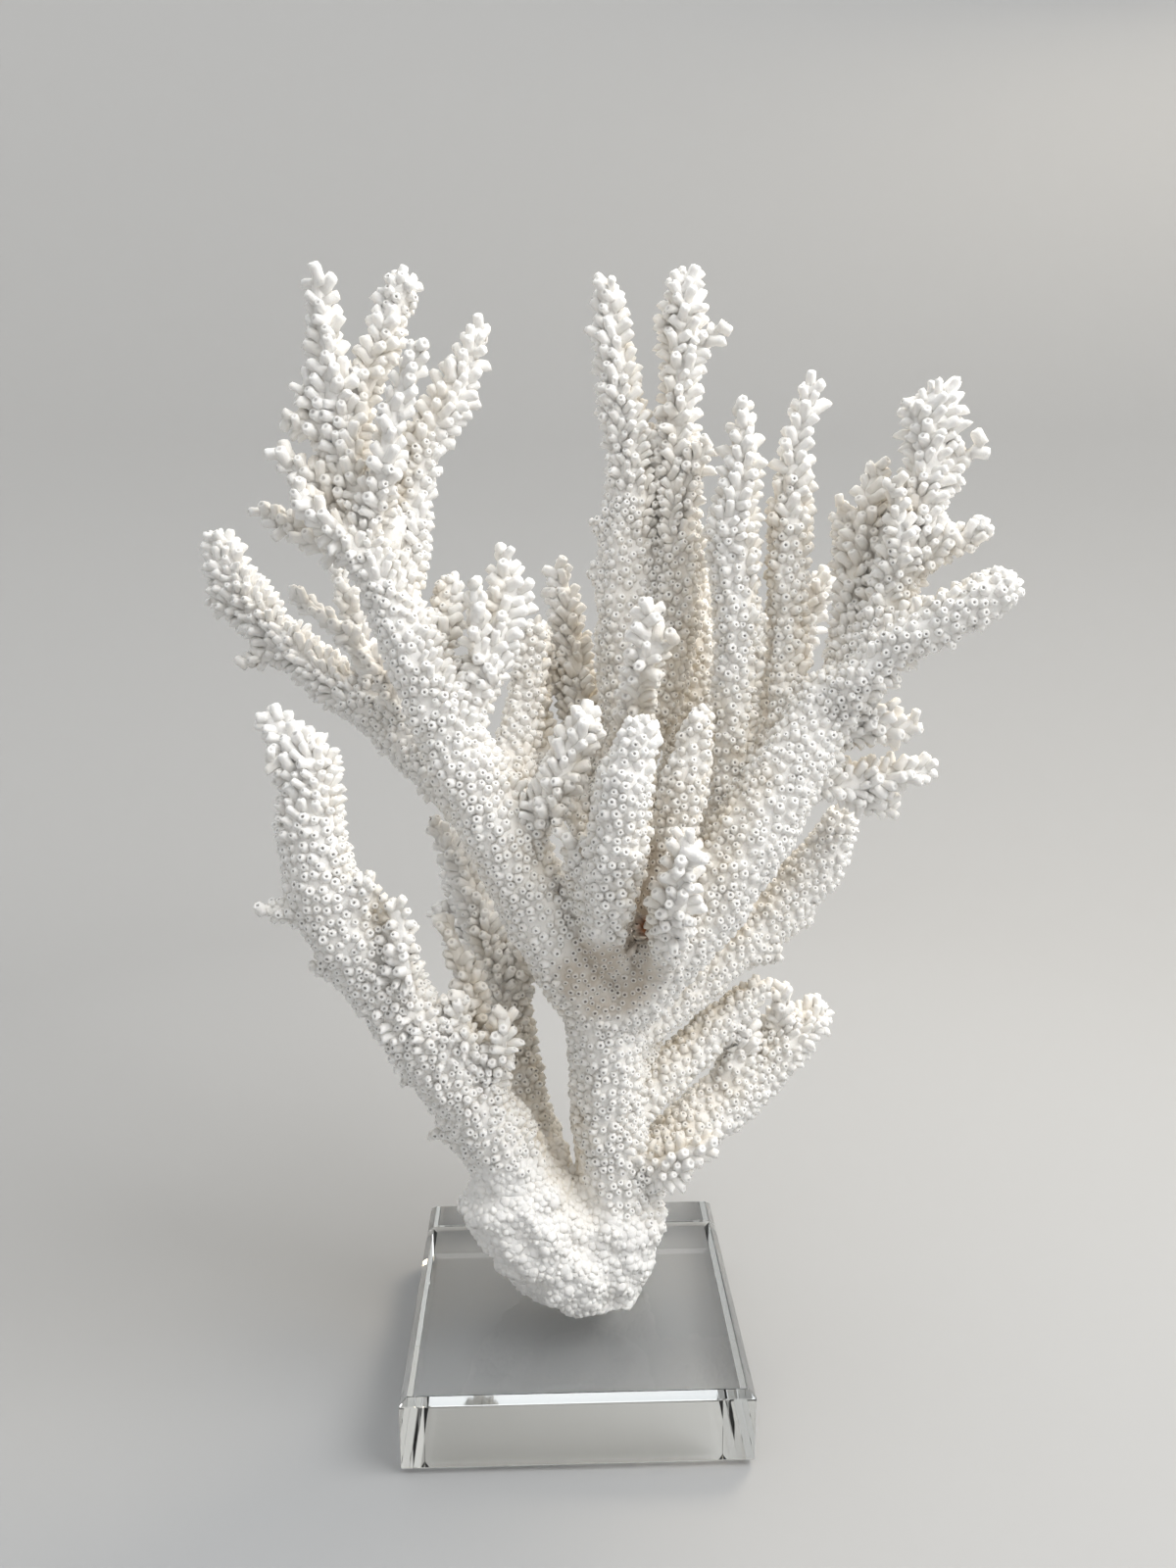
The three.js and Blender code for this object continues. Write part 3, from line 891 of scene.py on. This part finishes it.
@dataclass
class ShaderGraph:
    """A material and the nodes that are added to it."""

    material: bpy.types.Material

    @classmethod
    def named(cls, name: str) -> "ShaderGraph":
        """Makes an empty node material.

        Args:
            name: The material's name.

        Returns:
            The graph of the new material.
        """
        material = bpy.data.materials.new(name)
        material.use_nodes = True
        material.node_tree.nodes.clear()
        return cls(material)

    def add(self, kind: str, **settings: object) -> bpy.types.Node:
        """Adds a node with its settings and links.

        Args:
            kind: The node's type.
            **settings: The node's properties, and inputs by name or number. An output is linked to its
                input, and any other value is set on it.

        Returns:
            The node.
        """
        tree = self.material.node_tree
        node = tree.nodes.new(kind)
        inputs = settings.pop("inputs", {})
        for name, value in settings.items():
            setattr(node, name, value)
        for name, value in inputs.items():
            if isinstance(value, Output):
                tree.links.new(value, node.inputs[name])
            else:
                node.inputs[name].default_value = value
        return node

    def speckle(self, size_mm: float, detail: float) -> Output:
        """Adds noise that is fixed to the object.

        Args:
            size_mm: The size of its speckles.
            detail: How many finer layers it has.

        Returns:
            Values round 0.5.
        """
        place = self.add("ShaderNodeTexCoord").outputs["Object"]
        inputs = {"Vector": place, "Scale": 1000 / size_mm, "Detail": detail}
        return self.add("ShaderNodeTexNoise", inputs=inputs).outputs["Fac"]

    def rescale(self, value: Output, before: Pair, after: Pair) -> Output:
        """Takes a value from one range to another."""
        inputs = dict(zip(("From Min", "From Max", "To Min", "To Max"), before + after))
        return self.add("ShaderNodeMapRange", inputs={"Value": value, **inputs}).outputs["Result"]

    def product(self, one: Output, other: Output) -> Output:
        """Multiplies two values."""
        return self.add("ShaderNodeMath", operation="MULTIPLY", inputs={0: one, 1: other}).outputs[0]

    def blend(self, share: Output, low: object, high: object) -> Output:
        """Mixes two colours by a share from 0 to 1."""
        inputs = {0: share, 6: low, 7: high}
        return self.add("ShaderNodeMix", data_type="RGBA", clamp_factor=True, inputs=inputs).outputs[2]


@dataclass(frozen=True)
class BleachedAragonite:
    """Coral skeleton bleached and dried: chalky, matt, and faintly see-through where it is thin."""

    clean: str = "#FDFCFA"
    shaded: str = "#E6DBC8"
    film: str = "#C7BCAE"
    hole: str = "#40342B"
    rust: str = "#9A6238"
    rust_place_mm: Triple = (21.5, -22.5, 154)
    rust_reach_mm: float = 5.0
    rust_strength: float = 1.6
    grain_mm: float = 0.45
    mottle_mm: float = 7.0
    roughness: float = 0.78
    ior: float = 1.55
    scatter: float = 0.2
    scatter_depth_mm: Triple = (0.7, 0.65, 0.6)

    def build(self) -> bpy.types.Material:
        """Builds the material from the tones that each corner of the mesh holds."""
        graph = ShaderGraph.named("bleached_aragonite")
        tone = graph.add("ShaderNodeAttribute", attribute_name="tone").outputs["Vector"]
        shade, film, hollow = graph.add("ShaderNodeSeparateXYZ", inputs={"Vector": tone}).outputs
        # Painted shade: closed-in hollows and the valleys between the cups are mixed towards a warmer white,
        # and the main fork keeps a grey-brown film, both in soft patches.
        uneven = graph.rescale(graph.speckle(self.mottle_mm, detail=3.0), (0.3, 0.7), (0.6, 1.4))
        colour = graph.blend(graph.product(shade, uneven), linear(self.clean), linear(self.shaded))
        colour = graph.blend(graph.product(film, uneven), colour, linear(self.film))
        # One rusty spot marks the foot of a finger, and the cups' mouths are darkened with painted shade.
        place = graph.add("ShaderNodeTexCoord").outputs["Object"]
        ends = {0: place, 1: [v * MM for v in self.rust_place_mm]}
        away = graph.add("ShaderNodeVectorMath", operation="DISTANCE", inputs=ends).outputs["Value"]
        near = graph.rescale(away, (self.rust_reach_mm * MM, 0.0), (0.0, self.rust_strength))
        colour = graph.blend(graph.product(near, uneven), colour, linear(self.rust))
        colour = graph.blend(hollow, colour, linear(self.hole))
        # The surface has a fine, sugary grain, and a little light passes through it.
        grain = graph.speckle(self.grain_mm, detail=2.0)
        bump = graph.add("ShaderNodeBump", inputs={"Height": grain, "Strength": 0.8, "Distance": 0.2 * MM})
        bsdf = graph.add(
            "ShaderNodeBsdfPrincipled",
            inputs={
                "Base Color": colour,
                "Roughness": self.roughness,
                "IOR": self.ior,
                "Subsurface Weight": self.scatter,
                "Subsurface Radius": [d * MM for d in self.scatter_depth_mm],
                "Subsurface Scale": 1.0,
                "Normal": bump.outputs["Normal"],
            },
        )
        graph.add("ShaderNodeOutputMaterial", inputs={"Surface": bsdf.outputs["BSDF"]})
        return graph.material


@dataclass(frozen=True)
class CastAcrylic:
    """Clear cast acrylic, diamond polished: see-through, with a faint cool tint along its edges."""

    surface: str = "#FFFFFF"
    body: str = "#C9DAD3"
    absorption: float = 1.6
    ior: float = 1.49
    roughness: float = 0.015

    def build(self) -> bpy.types.Material:
        """Builds the material: plain transmission with a little absorption inside."""
        graph = ShaderGraph.named("polished_cast_acrylic")
        bsdf = graph.add(
            "ShaderNodeBsdfPrincipled",
            inputs={
                "Base Color": linear(self.surface),
                "Roughness": self.roughness,
                "IOR": self.ior,
                "Transmission Weight": 1.0,
            },
        )
        inside = graph.add(
            "ShaderNodeVolumeAbsorption", inputs={"Color": linear(self.body), "Density": self.absorption}
        )
        graph.add(
            "ShaderNodeOutputMaterial",
            inputs={"Surface": bsdf.outputs["BSDF"], "Volume": inside.outputs["Volume"]},
        )
        return graph.material


@dataclass(frozen=True)
class StudioPaper:
    """Matt pale paper for the floor and backdrop."""

    colour: str = "#ADAEAF"
    roughness: float = 0.9

    def build(self) -> bpy.types.Material:
        """Builds the plain matt material."""
        graph = ShaderGraph.named("pale_studio_paper")
        inputs = {"Base Color": linear(self.colour), "Roughness": self.roughness}
        bsdf = graph.add("ShaderNodeBsdfPrincipled", inputs=inputs)
        graph.add("ShaderNodeOutputMaterial", inputs={"Surface": bsdf.outputs["BSDF"]})
        return graph.material


# ---- Pieces ----


def mesh_piece(
    name: str, points: np.ndarray, quads: np.ndarray, triangles: np.ndarray, tones: np.ndarray
) -> bpy.types.Object:
    """Makes an object from arrays of quads and triangles.

    Args:
        name: The object's name.
        points: Its vertices.
        quads: Corner indices of its quads.
        triangles: Corner indices of its triangles.
        tones: Painted shade, film and hollow (the mouths' painted shade) at each corner, quads first.

    Returns:
        The new object.
    """
    mesh = bpy.data.meshes.new(name)
    corners = np.concatenate([quads.ravel(), triangles.ravel()]).astype(np.int32)
    sizes = np.concatenate([np.full(len(quads), 4), np.full(len(triangles), 3)]).astype(np.int32)
    mesh.vertices.add(len(points))
    mesh.vertices.foreach_set("co", points.astype(np.float32).ravel())
    mesh.loops.add(len(corners))
    mesh.loops.foreach_set("vertex_index", corners)
    mesh.polygons.add(len(sizes))
    mesh.polygons.foreach_set("loop_start", np.concatenate([[0], np.cumsum(sizes)[:-1]]).astype(np.int32))
    mesh.polygons.foreach_set("use_smooth", np.ones(len(sizes), bool))
    mesh.update(calc_edges=True)
    tone = mesh.attributes.new("tone", "FLOAT_VECTOR", "CORNER")
    tone.data.foreach_set("vector", tones.astype(np.float32).ravel())
    mesh.validate()
    piece = bpy.data.objects.new(name, mesh)
    bpy.context.scene.collection.objects.link(piece)
    return piece


@dataclass
class Coral:
    """The coral colony: one piece for each limb, each with the cups that stand on it."""

    nodes: list[str]
    cut_depth: float = 0.5
    finish: BleachedAragonite = field(default_factory=BleachedAragonite)
    skin: Skin = field(init=False)
    normals: np.ndarray = field(init=False)
    whole: BVHTree = field(init=False)
    labels: np.ndarray = field(init=False)
    valley: np.ndarray = field(init=False)
    forked: np.ndarray = field(init=False)
    grown: dict[Form, tuple] = field(init=False)

    def grow(self) -> None:
        """Makes the skin that the limbs share, its tones, and each form's cup with all its copies."""
        self.skin = skin = LimbSkin(self.nodes).build()
        skin.measure_shade(rays=14, reach=45 * MM)
        self.labels = Division(self.nodes).share_out(skin)
        cups = CupField(skin, np.random.default_rng(SEED))
        cups.scatter()
        cups.choose_forms()
        _, worn, self.forked = cups.zones()
        # Painted shade on the skin: its closedness plus extra shade in the valleys between the cups, left off
        # the worn foot.
        self.valley = skin.shade + cups.valley_painted_shade * (1 - worn) * (1 - skin.shade)
        self.normals, self.whole = skin.normals(), skin.tree()
        self.grown = {}
        for form in Form:
            cup = SHAPES[form].model()
            self.grown[form] = (cup, *cups.grow(form, cup))
            log.info("%s cups: %d of %d triangles", form.value, len(self.grown[form][1]), len(cup.triangles))

    def build(self) -> None:
        """Builds all the limbs, one object for each."""
        self.grow()
        material = self.finish.build()
        for label, name in enumerate(self.nodes):
            piece = self.limb(name, label)
            piece.data.materials.append(material)
            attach(piece, "root")
            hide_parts(name)
            log.info("%s: %d faces", piece.name, len(piece.data.polygons))

    def limb(self, name: str, label: int) -> bpy.types.Object:
        """Builds one limb from its part of the skin and its cups.

        Args:
            name: The limb's name in the frame.
            label: What marks its faces on the skin.

        Returns:
            The limb, closed where its neighbours meet it.
        """
        used, flat = np.unique(self.skin.faces[self.labels == label], return_inverse=True)
        quads = flat.reshape(-1, 4)
        points, triangles = self.close(used, quads)
        valley, forked = self.valley[used], self.forked[used]
        quad_tones = np.zeros((len(quads), 4, 3))
        quad_tones[:, :, 0], quad_tones[:, :, 1] = valley[quads], forked[quads]
        wall_tones = np.zeros((len(triangles), 3, 3))
        wall_tones[:, :, 0], wall_tones[:, :, 1] = valley.mean(), forked.max()
        all_points, all_triangles, all_tones = [points], [triangles], [quad_tones, wall_tones]
        count = len(points)
        for cup, places, tones, face in self.grown.values():
            here = self.labels[face] == label
            if not here.any():
                continue
            own = places[here]
            starts = count + np.arange(len(own))[:, None, None] * own.shape[1]
            all_points.append(own.reshape(-1, 3))
            all_triangles.append((cup.triangles[None] + starts).reshape(-1, 3))
            all_tones.append(tones[here])
            count += own.shape[0] * own.shape[1]
        corner_tones = np.concatenate([tones.reshape(-1, 3) for tones in all_tones])
        return mesh_piece(
            f"{name}_coral", np.concatenate(all_points), quads, np.concatenate(all_triangles), corner_tones
        )

    def fan_middle(self, sunk: np.ndarray, deep: np.ndarray, growth: np.ndarray) -> np.ndarray:
        """Finds the middle of a cut's fan, so that the fan stays inside the coral.

        Args:
            sunk: The rim of the fan.
            deep: Places further in, under the same rim.
            growth: The way the limb grows there.

        Returns:
            The middle.
        """
        rim = sunk[:: max(1, len(sunk) // 40)]
        best, fewest = sunk.mean(axis=0), None
        further = [deep.mean(axis=0) - way * MM * growth for way in (0, 3, 6, 9, 13, 17, 22)]
        for middle in [best, *further, *deep[:: max(1, len(deep) // 14)]]:
            outside = 0
            for share in (0.3, 0.6, 0.9):
                for place in rim + share * (middle - rim):
                    near, normal, _, _ = self.whole.find_nearest(Vector(place))
                    outside += (Vector(place) - near).dot(normal) > 0
            if fewest is None or outside < fewest:
                best, fewest = middle, outside
            if not fewest:
                break
        return best

    def close(self, used: np.ndarray, quads: np.ndarray) -> tuple[np.ndarray, np.ndarray]:
        """Closes a limb's skin where it was cut from its neighbours: a short wall inwards, then a fan.

        Args:
            used: Which of the skin's points are the limb's.
            quads: The limb's faces, by its own points.

        Returns:
            The limb's points with those of the walls and fans added, and the triangles of both.
        """
        points = self.skin.points[used]
        inward = self.normals[used] * self.skin.radius[used, None]
        inner, core = points - self.cut_depth * inward, points - inward
        ways = np.concatenate([quads[:, [i, (i + 1) % 4]] for i in range(4)])
        known = {(a, b) for a, b in ways.tolist()}
        rim = np.array(sorted((a, b) for a, b in known if (b, a) not in known), int).reshape(-1, 2)
        cut_of = joined_groups(len(points), rim).tolist()
        cuts: dict[int, list[tuple[int, int]]] = {}
        for a, b in rim.tolist():
            cuts.setdefault(cut_of[a], []).append((a, b))
        added, triangles = [], []
        for edges in cuts.values():
            sunk = {a: len(points) + len(added) + i for i, (a, _) in enumerate(edges)}
            added += [inner[a] for a in sunk]
            middle = len(points) + len(added)
            rim_growth = unit(self.skin.growth[used][list(sunk)].mean(axis=0, keepdims=True))
            added.append(self.fan_middle(inner[list(sunk)], core[list(sunk)], rim_growth[0]))
            for a, b in edges:
                triangles += [(b, a, sunk[a]), (b, sunk[a], sunk[b]), (sunk[b], sunk[a], middle)]
        if not triangles:
            return points, np.empty((0, 3), int)
        return np.concatenate([points, np.array(added)]), np.array(triangles)


@dataclass
class AcrylicBlock:
    """The clear block: bevelled along its top and bottom edges, with every edge just broken."""

    bevel: float = 2 * MM
    broken_edge: float = 0.2 * MM
    finish: CastAcrylic = field(default_factory=CastAcrylic)

    def build(self) -> None:
        """Builds the block to the size of its solid."""
        low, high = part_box(BLOCK)
        clear_selection()
        bpy.ops.mesh.primitive_cube_add(size=1, location=(low + high) / 2, scale=high - low)
        piece = bpy.context.object
        bpy.ops.object.transform_apply(location=True, rotation=True, scale=True)
        middle = (low.z + high.z) / 2
        bpy.ops.object.mode_set(mode="EDIT")
        bpy.ops.mesh.select_mode(type="EDGE")
        bpy.ops.mesh.select_all(action="DESELECT")
        bpy.ops.object.mode_set(mode="OBJECT")
        mesh = piece.data
        for edge in mesh.edges:
            heights = [mesh.vertices[v].co.z - middle for v in edge.vertices]
            edge.select = heights[0] * heights[1] > 0
        bpy.ops.object.mode_set(mode="EDIT")
        bpy.ops.mesh.bevel(offset=self.bevel, segments=1, affect="EDGES")
        bpy.ops.object.mode_set(mode="OBJECT")
        sharp = {"limit_method": "ANGLE", "angle_limit": math.radians(20)}
        apply_modifier(piece, "BEVEL", width=self.broken_edge, segments=2, **sharp)
        piece.name = "acrylic_block_polished"
        piece.data.materials.append(self.finish.build())
        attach(piece, "root")
        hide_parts(BLOCK)


# ---- The studio ----


@dataclass(frozen=True)
class Lamp:
    """A square soft lamp that faces the middle of the coral."""

    name: str
    place: Triple
    size: float
    watts: float
    colour: str
    target: Triple = (0, 0, 0.18)

    def hang(self) -> None:
        """Hangs the lamp in the scene."""
        data = bpy.data.lights.new(self.name, "AREA")
        data.shape = "SQUARE"
        data.size = self.size
        data.energy = self.watts
        data.color = linear(self.colour)[:3]
        lamp = bpy.data.objects.new(self.name, data)
        lamp.location = self.place
        lamp.rotation_mode = "QUATERNION"
        lamp.rotation_quaternion = (Vector(self.target) - Vector(self.place)).to_track_quat("-Z", "Y")
        bpy.context.scene.collection.objects.link(lamp)


@dataclass
class Studio:
    """A round bowl of pale paper, soft lamps and the camera."""

    floor_radius: float = 0.46
    wall_radius: float = 0.80
    wall_height: float = 1.3
    curve_steps: int = 10
    floor_gap: float = 0.25 * MM
    lamps: tuple[Lamp, ...] = (
        Lamp("window", (0.62, -0.30, 0.72), 0.75, 10.2, "#FFFEFC"),
        Lamp("back_window", (0.40, 0.42, 0.85), 0.3, 3.5, "#FFF0D8"),
    )
    sky: str = "#F3F5F7"
    sky_strength: float = 1.6
    camera_place: Triple = (-0.0076, -0.3484, 0.2659)
    camera_forward: Triple = (0.0338, 0.9769, -0.2108)
    camera_up: Triple = (0.0073, 0.2107, 0.9775)
    lens_mm: float = 27.72

    def bowl(self) -> None:
        """Makes the floor and the wall in one sweep, so that no line shows behind the coral."""
        clear_selection()
        bpy.ops.mesh.primitive_circle_add(vertices=96, radius=self.floor_radius, fill_type="NGON")
        piece = bpy.context.object
        bpy.ops.object.mode_set(mode="EDIT")
        bpy.ops.mesh.select_all(action="SELECT")
        reach = self.wall_radius - self.floor_radius
        last_radius, last_height = self.floor_radius, 0.0
        for i in range(1, self.curve_steps + 1):
            angle = math.pi / 2 * i / self.curve_steps
            radius = self.floor_radius + reach * math.sin(angle)
            height = reach * (1 - math.cos(angle))
            bpy.ops.mesh.extrude_region_move(TRANSFORM_OT_translate={"value": (0, 0, height - last_height)})
            grow = radius / last_radius
            bpy.ops.transform.resize(value=(grow, grow, 1))
            last_radius, last_height = radius, height
        rise = (0, 0, self.wall_height - last_height)
        bpy.ops.mesh.extrude_region_move(TRANSFORM_OT_translate={"value": rise})
        bpy.ops.mesh.delete(type="ONLY_FACE")
        bpy.ops.mesh.select_all(action="SELECT")
        bpy.ops.mesh.normals_make_consistent(inside=True)
        bpy.ops.object.mode_set(mode="OBJECT")
        bpy.ops.object.shade_smooth_by_angle(angle=math.radians(30))
        piece.name = "studio_bowl"
        bpy.ops.transform.translate(value=(0, 0, -self.floor_gap))
        bpy.ops.object.transform_apply(location=True)
        piece.data.materials.append(StudioPaper().build())

    def light(self) -> None:
        """Lights the studio with an even sky and the lamps."""
        world = bpy.data.worlds.new("soft_sky")
        world.use_nodes = True
        sky = world.node_tree.nodes["Background"]
        sky.inputs["Color"].default_value = linear(self.sky)
        sky.inputs["Strength"].default_value = self.sky_strength
        bpy.context.scene.world = world
        for lamp in self.lamps:
            lamp.hang()

    def camera(self) -> None:
        """Sets up the camera, a little above the coral's middle and looking slightly down."""
        data = bpy.data.cameras.new("camera")
        data.sensor_width = 36.0
        data.lens = self.lens_mm
        data.clip_start, data.clip_end = 0.01, 20.0
        camera = bpy.data.objects.new("camera", data)
        forward, up = Vector(self.camera_forward).normalized(), Vector(self.camera_up).normalized()
        right = forward.cross(up).normalized()
        turn = Matrix((right, right.cross(forward), -forward)).transposed()
        camera.matrix_world = Matrix.Translation(self.camera_place) @ turn.to_4x4()
        bpy.context.scene.collection.objects.link(camera)
        bpy.context.scene.camera = camera

    def build(self) -> None:
        """Builds the whole studio."""
        self.bowl()
        self.light()
        self.camera()
        bpy.context.scene.view_settings.view_transform = "Standard"


def main() -> None:
    """Builds the coral, its block and the studio."""
    logging.basicConfig(level=logging.INFO, format="%(message)s")
    Coral([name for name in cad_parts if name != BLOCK]).build()
    AcrylicBlock().build()
    Studio().build()


if __name__ == "__main__":
    main()
